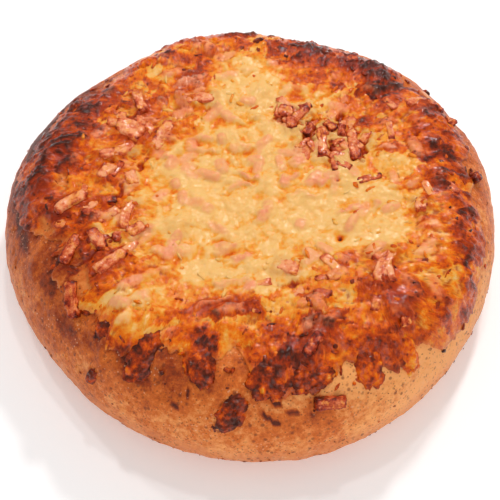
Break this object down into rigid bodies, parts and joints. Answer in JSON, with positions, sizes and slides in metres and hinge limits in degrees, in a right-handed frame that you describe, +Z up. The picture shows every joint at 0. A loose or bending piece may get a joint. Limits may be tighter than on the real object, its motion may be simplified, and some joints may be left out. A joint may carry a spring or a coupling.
{
  "type": "ham and cheese focaccia bread",
  "caption": "Round flat-footed focaccia bread with a low rim, melted browned cheese baked over its top and ham strips set in it.",
  "frame": {"origin": "under the middle of the bounding box, on the flat foot that the bread rests on", "axes": "+Z up through the topping, -Y towards the side where most of the bare crust shows, +X to the right as seen from there"},
  "size_m": [0.1688, 0.1672, 0.0459],
  "materials": {
    "bread_crust": null,
    "melted_cheese": null,
    "ham": null
  },
  "bodies": {
    "root": {"loaf": "bread_crust", "cheese": "melted_cheese", "cheese_drip_front": "melted_cheese", "cheese_drip_left": "melted_cheese", "ham_left_1": "ham", "ham_left_2": "ham", "ham_left_3": "ham", "ham_left_4": "ham", "ham_left_5": "ham", "ham_left_6": "ham", "ham_left_7": "ham", "ham_left_8": "ham", "ham_left_9": "ham", "ham_left_10": "ham", "ham_left_11": "ham", "ham_left_12": "ham", "ham_right_1": "ham", "ham_right_2": "ham", "ham_right_3": "ham", "ham_front_1": "ham", "ham_front_2": "ham"}
  },
  "joints": []
}
